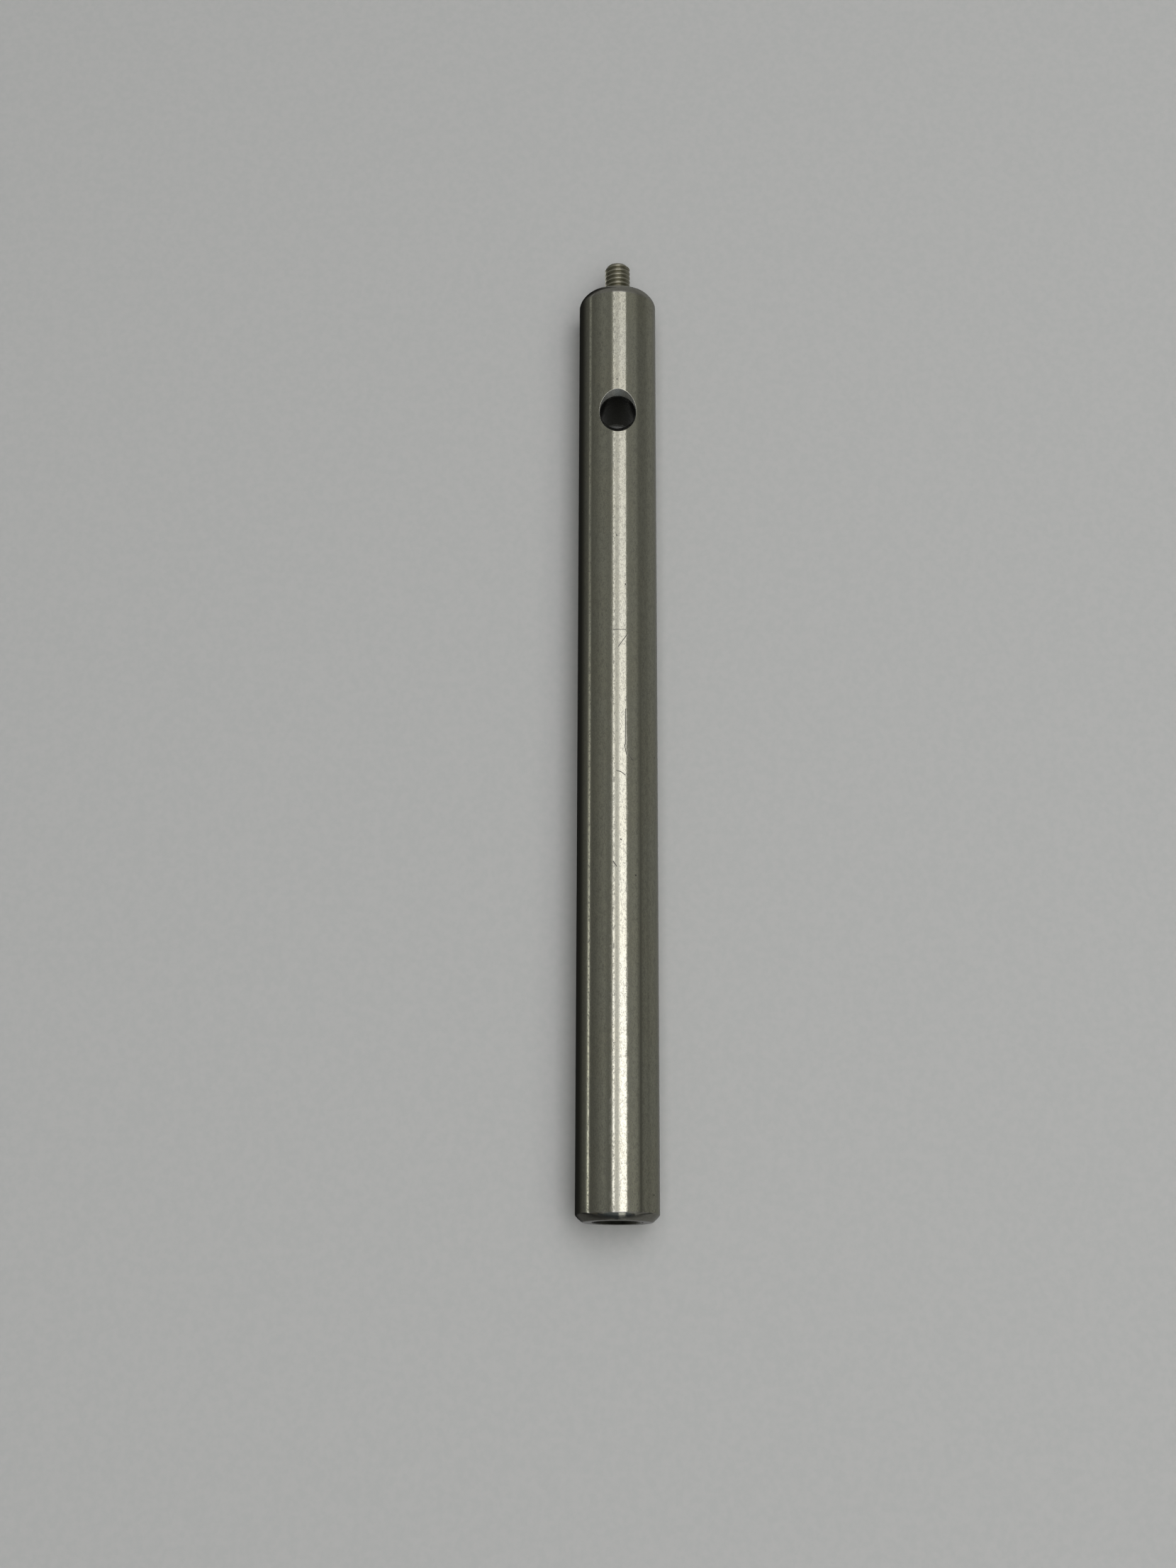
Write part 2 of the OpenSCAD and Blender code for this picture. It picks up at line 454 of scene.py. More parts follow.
def end_tree(tree, skin, size):
    """Ends a tree with real mesh in its metal."""
    real = add(tree, "GeometryNodeRealizeInstances", {"Geometry": skin})
    metal = add(tree, "GeometryNodeSetMaterial",
                {"Geometry": real, "Material": size["Metal"]})
    add(tree, "NodeGroupOutput", {"Geometry": metal})


def base_thread_tree(thread):
    """The lower hole's thread as a thin threaded lining of the drilled wall."""
    tree, size = new_tree("base_thread", THREAD_SIZES + (("Metal", "Material"),))
    end_tree(tree, thread_inside(tree, thread, size), size)
    return tree


def at_height(tree, cutter, height):
    """A cutter moved up the axis to a height."""
    spot = add(tree, "ShaderNodeCombineXYZ", {"Z": height})
    return add(tree, "GeometryNodeTransform", {"Geometry": cutter, "Translation": spot})


def socket_cutters(tree, size):
    """The socket's cutters: its flat sides, the lead-in cone and the drill point."""
    over, lap = 0.2 * MM, 0.01 * MM
    flats = 6
    to_corner = math.cos(math.pi / flats)
    half_flats = add(tree, MATH, {0: size["Socket Flats"]}, {1: 0.5}, operation="MULTIPLY")
    corner = add(tree, MATH, {0: half_flats}, {1: to_corner}, operation="DIVIDE")
    floor = add(tree, MATH, {0: size["Tip"], 1: size["Socket Depth"]}, operation="SUBTRACT")

    # hexagon, from the socket's floor to above the tip
    tall = add(tree, MATH, {0: size["Socket Depth"]}, {1: over}, operation="ADD")
    hexagon = add(tree, "GeometryNodeMeshCone",
                  {"Radius Top": corner, "Radius Bottom": corner, "Depth": tall},
                  {"Vertices": flats})
    hexagon = at_height(tree, hexagon, floor)

    # cone at the mouth: as deep as a corner stands out past a flat
    lead = add(tree, MATH, {0: corner, 1: half_flats}, operation="SUBTRACT")
    wide = add(tree, MATH, {0: corner}, {1: over}, operation="ADD")
    deep = add(tree, MATH, {0: lead}, {1: over}, operation="ADD")
    cone = add(tree, "GeometryNodeMeshCone",
               {"Radius Top": wide, "Radius Bottom": half_flats, "Depth": deep},
               {"Vertices": CONE_SIDES})
    low = add(tree, MATH, {0: size["Tip"], 1: lead}, operation="SUBTRACT")
    cone = at_height(tree, cone, low)

    # drill point under the hexagon, which it laps
    wide = add(tree, MATH, {0: half_flats}, {1: lap * POINT_SLOPE}, operation="ADD")
    deep = add(tree, MATH, {0: half_flats}, {1: 1 / POINT_SLOPE, 2: lap},
               operation="MULTIPLY_ADD")
    point = add(tree, "GeometryNodeMeshCone", {"Radius Top": wide, "Depth": deep},
                {"Vertices": CONE_SIDES, "Radius Bottom": 0.0})
    low = add(tree, MATH, {0: floor, 1: deep}, operation="SUBTRACT")
    low = add(tree, MATH, {0: low}, {1: lap}, operation="ADD")
    point = at_height(tree, point, low)
    return hexagon, cone, point


def cup_cutter(tree, size):
    """The cutter of the cup in the foot."""
    over = 0.2 * MM
    wide = add(tree, MATH, {0: size["Cup Radius"]}, {1: over * POINT_SLOPE}, operation="ADD")
    deep = add(tree, MATH, {0: size["Cup Radius"]}, {1: 1 / POINT_SLOPE, 2: over},
               operation="MULTIPLY_ADD")
    cup = add(tree, "GeometryNodeMeshCone", {"Radius Bottom": wide, "Depth": deep},
              {"Vertices": CONE_SIDES, "Radius Top": 0.0})
    low = add(tree, MATH, {0: size["Foot"]}, {1: over}, operation="SUBTRACT")
    return at_height(tree, cup, low)


def screw_tree(thread):
    """The rolled thread with its hexagon socket, lead-in cone, drill point and cup."""
    tree, size = new_tree("set_screw", SCREW_SIZES + (("Metal", "Material"),))
    screw = thread_inside(tree, thread, size)
    for cutter in (*socket_cutters(tree, size), cup_cutter(tree, size)):
        screw = add(tree, "GeometryNodeMeshBoolean", {"Mesh 1": screw, "Mesh 2": cutter},
                    operation="DIFFERENCE", solver="EXACT")
    screw = add(tree, "GeometryNodeMergeByDistance", {"Geometry": screw}, {"Distance": WELD})
    end_tree(tree, screw, size)
    return tree


def grow(name, tree, sizes):
    """Runs a geometry tree with its named sizes, and keeps the result as a plain mesh."""
    sharp = math.radians(32)
    piece = into_scene(name, bpy.data.meshes.new(name))
    modifier = piece.modifiers.new("grow", "NODES")
    modifier.node_group = tree
    for item in tree.interface.items_tree:
        if item.in_out == "INPUT":
            modifier[item.identifier] = sizes[item.name]
    mesh = keep_result(piece, modifier)
    mesh.name = name
    mesh.materials.clear()
    mesh.materials.append(sizes["Metal"])
    mesh.polygons.foreach_set("material_index", [0] * len(mesh.polygons))
    mesh.shade_smooth()
    mesh.set_sharp_from_angle(angle=sharp)
    return piece


def set_screw(thread, metal):
    """The screw: a free thread down to its seat, then held in the bar at its pitch line."""
    root = SCREW_RADIUS - SCREW_THREAD_DEPTH
    screw = grow("set_screw_threaded", screw_tree(thread), {
        "Pitch": SCREW_PITCH, "Foot": screw_low.z, "Tip": screw_high.z,
        "Root Radius": root, "Depth": SCREW_THREAD_DEPTH, "Outward": 1.0,
        "Foot Lead": SCREW_CUP_RADIUS - root,
        "Tip Lead": SCREW_THREAD_DEPTH - SCREW_TIP_CHAMFER,
        "Seat": BAR_TOP, "Seat Lead": TOP_MOUTH_RADIUS - THREAD_GAP - root,
        "Held Height": SCREW_HELD_RADIUS - root, "Closing Radius": 0.0, "Wall Rows": 0,
        "Sides": THREAD_SIDES, "Rows": THREAD_ROWS, "Socket Flats": SOCKET_FLATS,
        "Socket Depth": SOCKET_DEPTH, "Cup Radius": SCREW_CUP_RADIUS, "Metal": metal,
    })
    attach(screw, "root")
    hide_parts("set_screw")


def base_thread(thread, metal):
    """The lower hole's thread: a ring that lines the bore, with its crests inwards."""
    root = BASE_BORE_RADIUS - ROOT_WALL
    lining = grow("base_thread", base_thread_tree(thread), {
        "Pitch": BASE_THREAD_PITCH, "Foot": BASE_MOUTH_DEPTH, "Tip": BASE_THREAD_END,
        "Root Radius": root, "Depth": BASE_THREAD_DEPTH, "Outward": -1.0,
        "Foot Lead": 0.0, "Tip Lead": BASE_THREAD_DEPTH,
        "Seat": 0.0, "Seat Lead": BASE_THREAD_DEPTH, "Held Height": BASE_THREAD_DEPTH,
        "Closing Radius": BASE_BORE_RADIUS, "Wall Rows": 1,
        "Sides": THREAD_SIDES, "Rows": THREAD_ROWS, "Metal": metal,
    })
    lining.data.flip_normals()
    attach(lining, "root")


# ---- finishes -----------------------------------------------------------------------------

def new_finish(name):
    """A new material with an empty node tree."""
    mat = bpy.data.materials.new(name)
    mat.use_nodes = True
    mat.node_tree.nodes.clear()
    return mat, mat.node_tree


def millimetres(tree):
    """Place on the piece, in millimetres."""
    place = add(tree, "ShaderNodeTexCoord").outputs["Object"]
    return add(tree, VECTOR_MATH, {0: place}, {"Scale": 1 / MM}, operation="SCALE")


def from_axis(tree, place):
    """Distance of a place from the bar's axis."""
    flat = add(tree, VECTOR_MATH, {0: place}, {1: (1.0, 1.0, 0.0)}, operation="MULTIPLY")
    return add(tree, VECTOR_MATH, {0: flat}, operation="LENGTH").outputs["Value"]


def unrolled(tree, place):
    """The bar's side laid flat: millimetres round from the front, and up the bar."""
    axes = add(tree, "ShaderNodeSeparateXYZ", {0: place}).outputs
    front = add(tree, MATH, {0: axes["Y"]}, {1: -1.0}, operation="MULTIPLY")
    turn = add(tree, MATH, {0: axes["X"], 1: front}, operation="ARCTAN2")
    girth = add(tree, MATH, {0: turn}, {1: BAR_RADIUS / MM}, operation="MULTIPLY")
    return add(tree, "ShaderNodeCombineXYZ", {"X": girth, "Y": axes["Z"]})


def scratch(tree, side, start, end, width):
    """A fine scratch on the unrolled side, from start to end: 1 on it and 0 beside it."""
    run = (end[0] - start[0], end[1] - start[1], 0.0)
    square = run[0] ** 2 + run[1] ** 2
    local = add(tree, VECTOR_MATH, {0: side}, {1: (*start, 0.0)}, operation="SUBTRACT")
    along = add(tree, VECTOR_MATH, {0: local}, {1: run}, operation="DOT_PRODUCT")
    along = add(tree, MATH, {0: along.outputs["Value"]}, {1: square}, operation="DIVIDE",
                use_clamp=True)
    foot = add(tree, VECTOR_MATH, {"Scale": along}, {0: run}, operation="SCALE")
    gap = add(tree, VECTOR_MATH, {0: local, 1: foot}, operation="DISTANCE")
    return add(tree, MAP_RANGE, {"Value": gap.outputs["Value"]},
               {"From Min": 0.3 * width, "From Max": width, "To Min": 1.0, "To Max": 0.0},
               interpolation_type="SMOOTHSTEP")


def handling_marks(tree, side):
    """Marks from handling on the unrolled side: 1 in a nick or scratch and 0 beside it."""
    # nicks: sparse pits of 0.15 to 0.3 mm
    grid = add(tree, "ShaderNodeTexVoronoi", {"Vector": side}, {"Scale": 0.3})
    size = add(tree, "ShaderNodeSeparateColor", {0: grid.outputs["Color"]})
    size = add(tree, MAP_RANGE, {"Value": size.outputs[0]},
               {"From Min": 0.35, "From Max": 1.0, "To Min": 0.0, "To Max": 0.045},
               interpolation_type="SMOOTHSTEP")
    marks = add(tree, MATH, {0: grid.outputs["Distance"], 1: size}, operation="LESS_THAN")

    # scratches: the plain ones by place, then hairlines that cross at any angle
    for start, end, width in SCRATCHES:
        mark = scratch(tree, side, start, end, width)
        marks = add(tree, MATH, {0: marks, 1: mark}, operation="MAXIMUM")
    for turn, stretch in ((0.5, 2.7), (-0.9, 2.1), (1.35, 3.3)):
        tilted = add(tree, "ShaderNodeMapping", {"Vector": side},
                     {"Rotation": (0.0, 0.0, turn), "Scale": (stretch, 0.22, 1.0)})
        hair = add(tree, "ShaderNodeTexVoronoi", {"Vector": tilted}, {"Scale": 0.35})
        hair = add(tree, MAP_RANGE, {"Value": hair.outputs["Distance"]},
                   {"From Min": 0.015, "From Max": 0.035, "To Min": 0.35, "To Max": 0.0},
                   interpolation_type="SMOOTHSTEP")
        marks = add(tree, MATH, {0: marks, 1: hair}, operation="MAXIMUM")
    return marks


def ground_stainless():
    """Centreless-ground 303 stainless. The wheel leaves a bright satin skin that draws
    streaks of light out sharply, with fine specks and soft clouds where it is rougher,
    faint rings, small nicks and fine scratches from handling, and soft rims."""
    mat, tree = new_finish("ground_stainless")
    place = millimetres(tree)
    side = unrolled(tree, place)
    marks = handling_marks(tree, side)

    # specks 0.13 mm wide, clouds of them 0.5 mm across and stains of 6 mm, all twice as
    # long up the bar
    drawn = add(tree, VECTOR_MATH, {0: place}, {1: (1.0, 1.0, 0.5)}, operation="MULTIPLY")
    specks = add(tree, NOISE, {"Vector": drawn},
                 {"Scale": 7.5, "Detail": 3.0, "Roughness": 0.6})
    clouds = add(tree, NOISE, {"Vector": drawn},
                 {"Scale": 1.9, "Detail": 2.0, "Roughness": 0.6})
    stains = add(tree, NOISE, {"Vector": drawn},
                 {"Scale": 0.16, "Detail": 3.0, "Roughness": 0.5})
    mottle = add(tree, MATH, {0: clouds, 2: specks}, {1: 0.5}, operation="MULTIPLY_ADD")

    # grinding rings, too fine to show, so drawn 0.15 mm apart, and faint streaks 0.25 mm
    # wide up the bar
    ringed = add(tree, VECTOR_MATH, {0: place}, {1: (0.45, 0.45, 6.5)}, operation="MULTIPLY")
    rings = add(tree, NOISE, {"Vector": ringed},
                {"Scale": 1.0, "Detail": 2.0, "Roughness": 0.6})
    streaked = add(tree, VECTOR_MATH, {0: side}, {1: (4.0, 0.12, 1.0)}, operation="MULTIPLY")
    streaks = add(tree, NOISE, {"Vector": streaked},
                  {"Scale": 1.0, "Detail": 2.0, "Roughness": 0.5})

    # colour: warm grey, a little darker in the specks, and darkest in scratches and nicks
    warm = add(tree, MAP_RANGE, {"Value": stains}, {"From Min": 0.35, "From Max": 0.65},
               interpolation_type="SMOOTHSTEP")
    color = add(tree, MIX, {"Factor": warm},
                {"A": srgb("#9b9b8b"), "B": srgb("#9c9b89")}, data_type="RGBA")
    dull = add(tree, MAP_RANGE, {"Value": mottle},
               {"From Min": 0.6, "From Max": 1.05, "To Min": 0.0, "To Max": 0.65},
               interpolation_type="SMOOTHSTEP")
    color = add(tree, MIX, {"Factor": dull, "A": color.outputs["Result"]},
                {"B": srgb("#67665d")}, data_type="RGBA")
    color = add(tree, MIX, {"Factor": marks, "A": color.outputs["Result"]},
                {"B": srgb("#4c4b46")}, data_type="RGBA")

    # gloss: rough specks scatter the light that the smooth skin mirrors
    rough = add(tree, MAP_RANGE, {"Value": mottle},
                {"From Min": 0.66, "From Max": 0.95, "To Min": 0.08, "To Max": 0.26},
                interpolation_type="SMOOTHSTEP")
    rough = add(tree, MATH, {0: marks, 2: rough}, {1: 0.3}, operation="MULTIPLY_ADD")

    # height, in micrometres: rings, specks, clouds and streaks stand up, marks go down
    height = add(tree, MATH, {0: rings}, {1: 0.35}, operation="MULTIPLY")
    for layer, relief in ((specks, 0.8), (clouds, 1.2), (streaks, 0.5), (marks, -3.5)):
        height = add(tree, MATH, {0: layer, 2: height}, {1: relief},
                     operation="MULTIPLY_ADD")
    edge = add(tree, "ShaderNodeBevel", values={"Radius": HOLE_RIM}, samples=8)
    bump = add(tree, "ShaderNodeBump", {"Height": height, "Normal": edge},
               {"Strength": 1.0, "Distance": MICROMETRE})

    metal = add(tree, "ShaderNodeBsdfPrincipled",
                {"Base Color": color.outputs["Result"], "Roughness": rough, "Normal": bump},
                {"Metallic": 1.0, "Specular Tint": srgb("#e2e2e0")})
    add(tree, "ShaderNodeOutputMaterial", {"Surface": metal})
    return mat


def turned_stainless():
    """Stainless as the lathe leaves it, on the ends, the chamfer and the bevel: a duller
    grey with fine rings 0.1 mm apart, which smear light across them, and with edges that
    have rubbed soft."""
    mat, tree = new_finish("turned_stainless")
    place = millimetres(tree)
    axes = add(tree, "ShaderNodeSeparateXYZ", {0: place}).outputs
    step = add(tree, "ShaderNodeCombineXYZ", {"X": from_axis(tree, place), "Y": axes["Z"]})
    rings = add(tree, NOISE, {"Vector": step},
                {"Scale": 9.0, "Detail": 2.0, "Roughness": 0.6})
    specks = add(tree, NOISE, {"Vector": place},
                 {"Scale": 3.0, "Detail": 3.0, "Roughness": 0.6})
    dull = add(tree, MAP_RANGE, {"Value": specks}, {"From Min": 0.4, "From Max": 0.72},
               interpolation_type="SMOOTHSTEP")
    color = add(tree, MIX, {"Factor": dull},
                {"A": srgb("#96958b"), "B": srgb("#8b897f")}, data_type="RGBA")
    rough = add(tree, MAP_RANGE, {"Value": specks},
                {"From Min": 0.35, "From Max": 0.7, "To Min": 0.13, "To Max": 0.17},
                interpolation_type="SMOOTHSTEP")
    height = add(tree, MATH, {0: rings, 2: specks}, {1: 1.2}, operation="MULTIPLY_ADD")
    edge = add(tree, "ShaderNodeBevel", values={"Radius": LATHE_EDGE}, samples=6)
    bump = add(tree, "ShaderNodeBump", {"Height": height, "Normal": edge},
               {"Strength": 1.0, "Distance": MICROMETRE})
    round_bar = add(tree, VECTOR_MATH, {1: place}, {0: (0.0, 0.0, 1.0)},
                    operation="CROSS_PRODUCT")
    metal = add(tree, "ShaderNodeBsdfPrincipled",
                {"Base Color": color.outputs["Result"], "Roughness": rough, "Normal": bump,
                 "Tangent": round_bar},
                {"Metallic": 1.0, "Specular Tint": srgb("#e2e2e0"), "Anisotropic": 0.9,
                 "Anisotropic Rotation": 0.25})
    add(tree, "ShaderNodeOutputMaterial", {"Surface": metal})
    return mat


def drilled_stainless():
    """The drilled holes: satin at their mouths and darker inside, where the darkening is
    painted shade, with patchy tone and rings from the drill 0.15 mm apart along each hole."""
    mat, tree = new_finish("drilled_stainless")
    place = millimetres(tree)
    ringed = add(tree, VECTOR_MATH, {0: place}, {1: (0.8, 7.0, 0.8)}, operation="MULTIPLY")
    rings = add(tree, NOISE, {"Vector": ringed},
                {"Scale": 1.0, "Detail": 2.0, "Roughness": 0.6})
    film = add(tree, NOISE, {"Vector": place},
               {"Scale": 1.4, "Detail": 3.0, "Roughness": 0.6})
    # painted shade inside the holes: full metal colour at 6.2 mm from the bar's axis, fully
    # shaded at 4.6 mm and nearer
    depth = add(tree, MAP_RANGE, {"Value": from_axis(tree, place)},
                {"From Min": 4.6, "From Max": 6.2}, interpolation_type="SMOOTHSTEP")
    patchy = add(tree, MAP_RANGE, {"Value": film},
                 {"From Min": 0.3, "From Max": 0.7, "To Min": 0.0, "To Max": 0.35},
                 interpolation_type="SMOOTHSTEP")
    paleness = add(tree, MATH, {0: depth, 1: patchy}, operation="SUBTRACT", use_clamp=True)
    # the dark colour is painted shade in the holes, broken up by patches
    color = add(tree, MIX, {"Factor": paleness},
                {"A": srgb("#31312a"), "B": srgb("#94958f")}, data_type="RGBA")
    rough = add(tree, MAP_RANGE, {"Value": film},
                {"From Min": 0.3, "From Max": 0.7, "To Min": 0.24, "To Max": 0.36},
                interpolation_type="SMOOTHSTEP")
    height = add(tree, MATH, {0: rings}, {1: 1.5}, operation="MULTIPLY")
    edge = add(tree, "ShaderNodeBevel", values={"Radius": HOLE_RIM}, samples=8)
    bump = add(tree, "ShaderNodeBump", {"Height": height, "Normal": edge},
               {"Strength": 1.0, "Distance": MICROMETRE})
    metal = add(tree, "ShaderNodeBsdfPrincipled",
                {"Base Color": color.outputs["Result"], "Roughness": rough, "Normal": bump},
                {"Metallic": 1.0, "Specular Tint": srgb("#d8d8d8")})
    add(tree, "ShaderNodeOutputMaterial", {"Surface": metal})
    return mat


def rolled_stainless():
    """Rolled stainless screw: duller than the bar, darker towards the roots of its thread and
    lighter on its crests, unevenly."""
    mat, tree = new_finish("rolled_stainless")
    place = millimetres(tree)
    # darkest from 0.34 mm under the crests inwards, lightest on their last 0.1 mm
    top = SCREW_RADIUS / MM
    crest = add(tree, MAP_RANGE, {"Value": from_axis(tree, place)},
                {"From Min": top - 0.34, "From Max": top - 0.1},
                interpolation_type="SMOOTHSTEP")
    grime = add(tree, NOISE, {"Vector": place},
                {"Scale": 2.2, "Detail": 3.0, "Roughness": 0.65})
    uneven = add(tree, MAP_RANGE, {"Value": grime},
                 {"From Min": 0.3, "From Max": 0.7, "To Min": -0.3, "To Max": 0.25},
                 interpolation_type="SMOOTHSTEP")
    paleness = add(tree, MATH, {0: crest, 1: uneven}, operation="ADD", use_clamp=True)
    color = add(tree, MIX, {"Factor": paleness},
                {"A": srgb("#848271"), "B": srgb("#9b9986")}, data_type="RGBA")
    rough = add(tree, MAP_RANGE, {"Value": paleness}, {"To Min": 0.45, "To Max": 0.36})
    pits = add(tree, NOISE, {"Vector": place},
               {"Scale": 9.0, "Detail": 2.0, "Roughness": 0.6})
    bump = add(tree, "ShaderNodeBump", {"Height": pits},
               {"Strength": 1.0, "Distance": 3 * MICROMETRE})
    metal = add(tree, "ShaderNodeBsdfPrincipled",
                {"Base Color": color.outputs["Result"], "Roughness": rough, "Normal": bump},
                {"Metallic": 1.0})
    add(tree, "ShaderNodeOutputMaterial", {"Surface": metal})
    return mat


# ---- stage --------------------------------------------------------------------------------

def pale_table():
    """A matt pale laminate top. The bar lies against its front; its back is see-through,
    so that the bar shows from behind as well. Glowing cards beside the bar stand for it in
    the metal, as a painted reflection of it and its shade."""
    mat, tree = new_finish("pale_laminate")
    grain = add(tree, NOISE, {"Vector": millimetres(tree)},
                {"Scale": 0.9, "Detail": 3.0, "Roughness": 0.6})
    tone = add(tree, MAP_RANGE, {"Value": grain}, {"From Min": 0.3, "From Max": 0.7},
               interpolation_type="SMOOTHSTEP")
    tone = add(tree, MIX, {"Factor": tone},
               {"A": srgb("#aeb0ac"), "B": srgb("#b2b3af")}, data_type="RGBA")
    face = add(tree, "ShaderNodeBsdfPrincipled", {"Base Color": tone.outputs["Result"]},
               {"Roughness": 1.0, "Specular IOR Level": 0.0})
    clear = add(tree, "ShaderNodeBsdfTransparent")
    side = add(tree, "ShaderNodeNewGeometry")
    mix = add(tree, "ShaderNodeMixShader", {0: side.outputs["Backfacing"], 1: face, 2: clear})
    add(tree, "ShaderNodeOutputMaterial", {"Surface": mix})
    half = 2.5
    mesh = bpy.data.meshes.new("table_top")
    y = bar_high.y
    corners = [(-half, y, -half), (half, y, -half), (half, y, half), (-half, y, half)]
    mesh.from_pydata(corners, [], [(0, 1, 2, 3)])
    mesh.materials.append(mat)
    table = into_scene("table_top", mesh)
    table.visible_glossy = False


def mirrored_only(name, points, faces, tones, tint="#ffffff"):
    """A glowing sheet with its own even tones that the camera and matt surfaces don't see: a
    painted reflection, shown only in the metal.
    """
    mesh = bpy.data.meshes.new(name)
    mesh.from_pydata(points, [], faces)
    grey = mesh.attributes.new("grey", "FLOAT", "POINT")
    grey.data.foreach_set("value", tones)
    mat, tree = new_finish(name)
    tone = add(tree, "ShaderNodeAttribute", attribute_name="grey").outputs["Fac"]
    glow = add(tree, "ShaderNodeEmission", {"Strength": tone}, {"Color": srgb(tint)})
    add(tree, "ShaderNodeOutputMaterial", {"Surface": glow})
    mesh.materials.append(mat)
    sheet = into_scene(name, mesh)
    sheet.visible_camera = False
    sheet.visible_diffuse = False
    sheet.visible_shadow = False


def grid_faces(columns, rows):
    """The faces of a grid whose points run up each column in turn."""
    corners = (i * rows + j for i in range(columns - 1) for j in range(rows - 1))
    return [(a, a + 1, a + rows + 1, a + rows) for a in corners]


def graded_sheet(name, stops, distance=0.85):
    """A tall glowing sheet curved round the bar, which only its metal mirrors: painted
    reflections of the room round it.
    Each stop is degrees round from the front, and the grey low down and high up."""
    heights = (-0.9, 0.1, 0.45, 1.2)
    points, tones = [], []
    for turn, low, high in stops:
        angle = math.radians(turn)
        x, y = distance * math.sin(angle), -distance * math.cos(angle)
        points.extend((x, y, z) for z in heights)
        tones.extend((low, low, high, high))
    mirrored_only(name, points, grid_faces(len(stops), len(heights)), tones)


def side_card(name, side, stops):
    """A glowing card just in front of the table beside the bar, on its left at side -1 and on
    its right at side 1: a painted reflection of the table and its shade, which only the metal
    mirrors. Each stop is millimetres out from the axis, and the grey under the foot, low down
    and high up."""
    in_front = 1.0 * MM
    y = bar_high.y - in_front
    heights = (-0.3, -0.003, 0.0, 0.2, 1.2)
    points, tones = [], []
    for out, under, low, high in stops:
        points.extend((side * out * MM, y, z) for z in heights)
        tones.extend((under, under, low, high, high))
    mirrored_only(name, points, grid_faces(len(stops), len(heights)), tones)


def level_sheet(name, x, y, z, tone, tint):
    """A flat level glowing sheet between two x and two y places at one height, all in metres,
    shown only in the metal as a painted reflection.
    """
    points = [(x[0], y[0], z), (x[1], y[0], z), (x[1], y[1], z), (x[0], y[1], z)]
    mirrored_only(name, points, [(0, 1, 2, 3)], [tone] * 4, tint)


def hole_shade():
    """The shaded spot of table behind the cross hole, as the metal in the hole mirrors it."""
    half, behind = 3.2 * MM, 0.1 * MM
    below, above = 0.08, 0.25
    low, high = CROSS_HOLE_HEIGHT - half, CROSS_HOLE_HEIGHT + half
    y = bar_high.y + behind
    points = [(-half, y, low), (half, y, low), (half, y, high), (-half, y, high)]
    mirrored_only("hole_shade", points, [(0, 1, 2, 3)], [below, below, above, above])


def softbox(name, place, size, strength, tint):
    """A flat soft light that faces the bar, gives off an even strength and isn't itself
    seen by the camera."""
    data = bpy.data.lights.new(name, "AREA")
    data.shape = "RECTANGLE"
    data.size, data.size_y = size
    data.energy = math.pi * size[0] * size[1] * strength
    data.color = srgb(tint)[:3]
    lamp = into_scene(name, data)
    lamp.location = place
    lamp.rotation_euler = (math.pi / 2, 0, 0)
    lamp.visible_camera = False
    return lamp


def window_light():
    """A tall window in front of the bar: two panes of sky with a dull one between them, and
    the sky in it brightest near its middle."""
    left, right, low, high = -0.255, 0.46, -0.9, 0.85
    distance = 1.0
    sky_gain, least = 2.7, 0.92
    size = (right - left, high - low)
    middle = ((left + right) / 2, -distance, (low + high) / 2)
    lamp = softbox("window", middle, size, 1.0, "#f6f3ff")
    lamp.data.use_nodes = True
    tree = lamp.data.node_tree
    glow = next(n for n in tree.nodes if n.type == "EMISSION")
    where = add(tree, "ShaderNodeNewGeometry").outputs["Parametric"]
    where = add(tree, "ShaderNodeSeparateXYZ", {0: where})
    panes = add(tree, "ShaderNodeValToRGB", {0: where.outputs[0]}, stops=(
        (0.0, 0.3), (0.07, 0.85), (0.12, 0.85), (0.18, 0.0), (0.38, 0.05), (0.45, 0.25),
        (0.52, 1.0)))
    sky = add(tree, "ShaderNodeValToRGB", {0: where.outputs[1]}, stops=(
        (0.0, 0.1), (0.45, 0.5), (0.6, 1.0), (0.77, 0.46), (0.86, 0.27), (0.92, 0.15)))
    power = add(tree, MATH, {0: panes, 1: sky}, operation="MULTIPLY")
    power = add(tree, MATH, {0: power}, {1: sky_gain, 2: least}, operation="MULTIPLY_ADD")
    tree.links.new(power.outputs[0], glow.inputs["Strength"])


def pale_room():
    """The world: an even pale backdrop to look at, and an even fill on matt surfaces."""
    world = bpy.data.worlds.new("pale_room")
    world.use_nodes = True
    tree = world.node_tree
    tree.nodes.clear()
    ray = add(tree, "ShaderNodeLightPath").outputs
    seen = add(tree, MATH, {0: ray["Is Camera Ray"], 1: ray["Is Glossy Ray"]},
               operation="MAXIMUM")
    seen = add(tree, MATH, {0: seen, 1: ray["Is Transmission Ray"]}, operation="MAXIMUM")
    fill = add(tree, "ShaderNodeBackground",
               values={"Color": srgb("#ffffff"), "Strength": 0.14})
    drop = add(tree, "ShaderNodeBackground", values={"Color": srgb("#aeaeac")})
    mix = add(tree, "ShaderNodeMixShader", {0: seen, 1: fill, 2: drop})
    add(tree, "ShaderNodeOutputWorld", {"Surface": mix})
    bpy.context.scene.world = world


# ---- the post -----------------------------------------------------------------------------

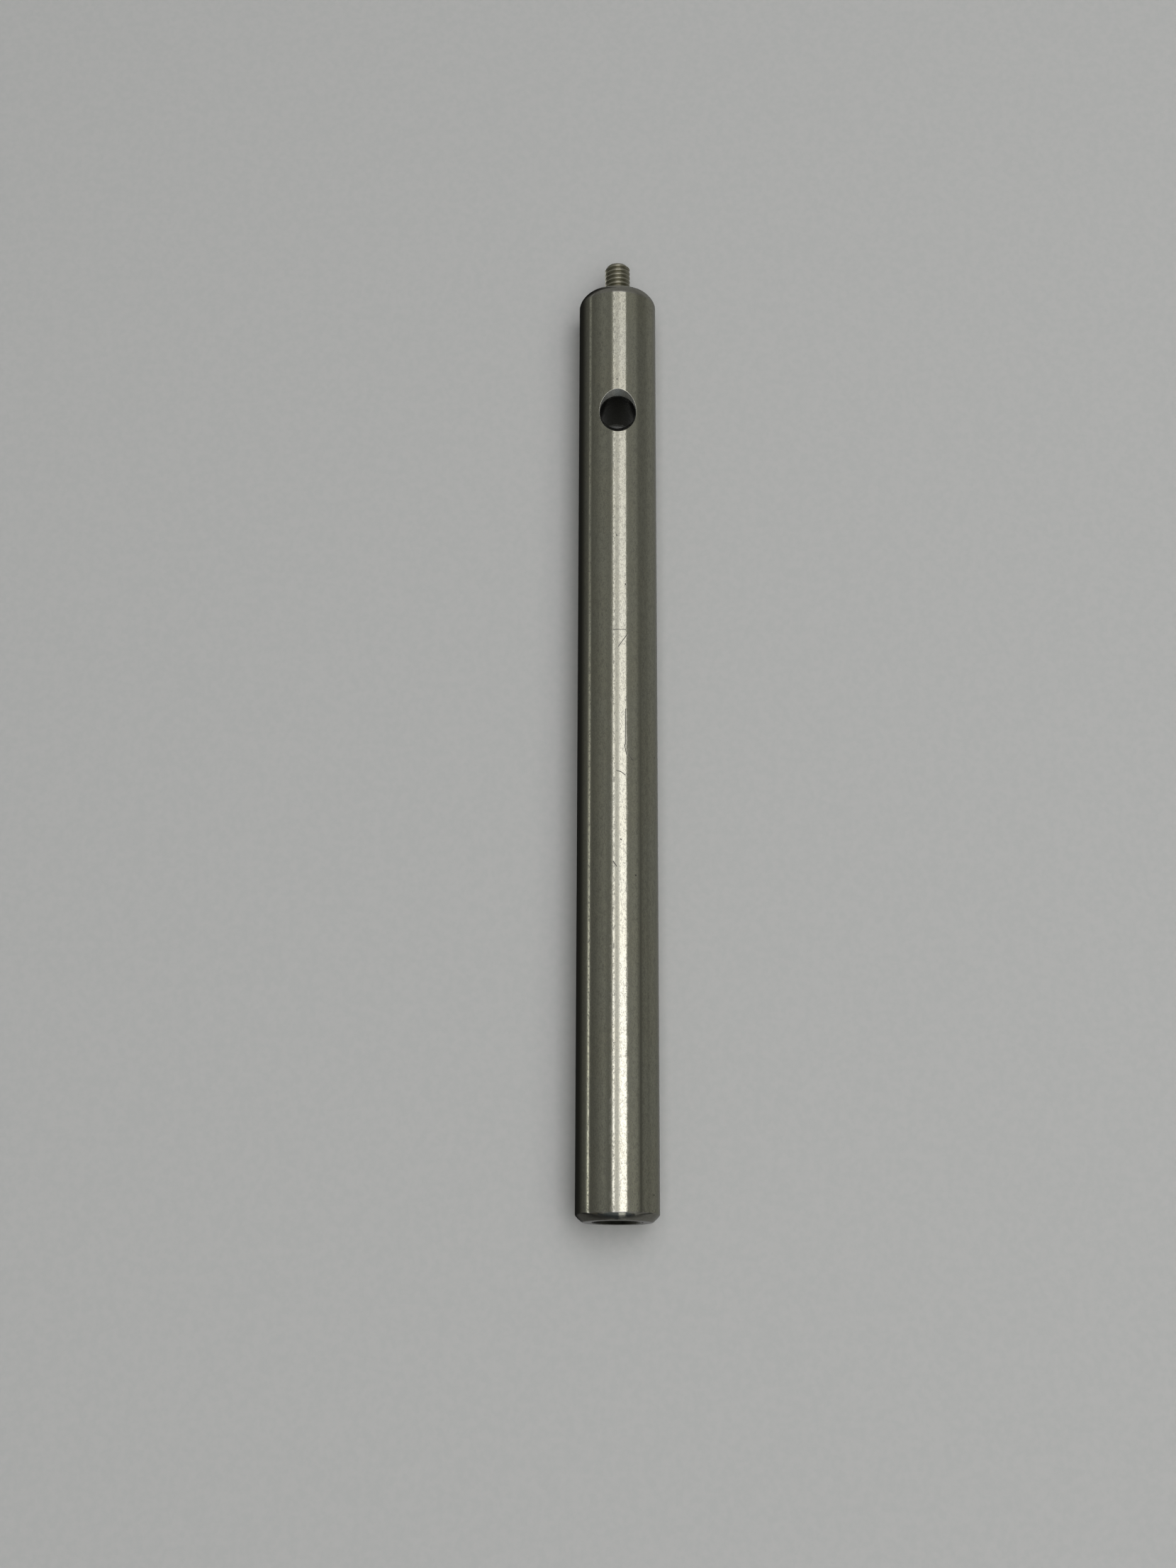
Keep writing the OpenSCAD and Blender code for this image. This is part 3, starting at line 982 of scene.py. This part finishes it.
place_camera()
pale_table()
window_light()
# glowing sheets round the bar, shown only in the metal: painted reflections of the room; the
# back sheet's dark band from 162 to 196 degrees paints shade into the cross hole, and its bright
# band a window's reflection on the bar's back
graded_sheet("right_sheet", ((26, 0.38, 0.38), (44, 0.48, 0.40), (55, 0.40, 0.38),
                             (61, 0.25, 0.28), (66, 0.11, 0.24), (73, 0.26, 0.24),
                             (82, 0.30, 0.245), (95, 0.28, 0.27)))
# the left sheet's bright narrow band from -90 to -86 degrees paints a thin glint line down the
# bar's left side
graded_sheet("left_sheet", ((-90, 2.00, 0.40), (-86, 2.00, 0.40), (-84, 0.17, 0.18),
                            (-75, 0.17, 0.22), (-60, 0.23, 0.27), (-48, 0.31, 0.34),
                            (-38, 0.38, 0.35), (-30, 0.30, 0.33), (-24, 0.23, 0.30),
                            (-18, 0.23, 0.33)))
graded_sheet("back_sheet", ((96, 0.24, 0.24), (115, 0.36, 0.34), (132, 0.20, 0.20),
                            (148, 0.30, 0.28), (162, 0.21, 0.12), (196, 0.21, 0.12),
                            (198, 0.32, 0.30), (200, 1.50, 1.30), (216, 1.30, 1.10),
                            (218, 0.34, 0.32), (248, 0.22, 0.22), (264, 0.30, 0.30)))
# glowing cards beside the bar, shown only in the metal: painted reflections of the table; near
# the bar the left card is nearly black, painting shade down the bar's left edge, and both cards
# paint the table's shade under the foot
side_card("left_painted_reflection", -1, ((6.4, 0.15, 0.015, 0.015), (15, 0.12, 0.035, 0.035),
                             (20, 0.07, 0.07, 0.07), (28, 0.03, 0.14, 0.13),
                             (45, 0.03, 0.17, 0.17), (75, 0.10, 0.19, 0.17),
                             (120, 0.20, 0.24, 0.24), (260, 0.25, 1.00, 0.60),
                             (600, 0.25, 1.20, 0.60)))
side_card("right_painted_reflection", 1, ((6.4, 0.27, 0.27, 0.29), (20, 0.25, 0.32, 0.375),
                           (32, 0.10, 0.32, 0.35), (60, 0.05, 0.29, 0.31),
                           (140, 0.20, 0.26, 0.26), (600, 0.25, 0.25, 0.24)))
hole_shade()
# glowing sheets below and above the bar, shown only in the metal: painted reflections of cloth
# and a ceiling, and the brightest one a painted highlight on the chamfer under the window's
# streak
level_sheet("dark_cloth", (-0.18, 0.14), (-0.045, 0.06), -0.25, 1.0, "#262d34")
level_sheet("olive_cloth", (-0.5, -0.18), (-0.22, 0.02), -0.25, 1.0, "#6c6a60")
level_sheet("grey_cloth", (-0.12, 0.12), (-0.22, -0.045), -0.25, 1.0, "#7f868c")
level_sheet("painted_chamfer_highlight", (0.01, 0.065), (-0.14, -0.045), -0.248, 3.0, "#b4b6b4")
level_sheet("ceiling", (-1.2, 1.2), (-1.2, 0.006), 1.0, 0.33, "#ffffff")
front_light = softbox("front_light", (0.45, -1.4, -0.1), (1.4, 1.6), 1.68, "#fffffa")
front_light.visible_glossy = False
pale_room()

drilled = drilled_stainless()
bar((ground_stainless(), turned_stainless(), drilled))
thread = thread_tree()
set_screw(thread, rolled_stainless())
base_thread(thread, drilled)

bpy.context.scene.view_settings.view_transform = "Standard"
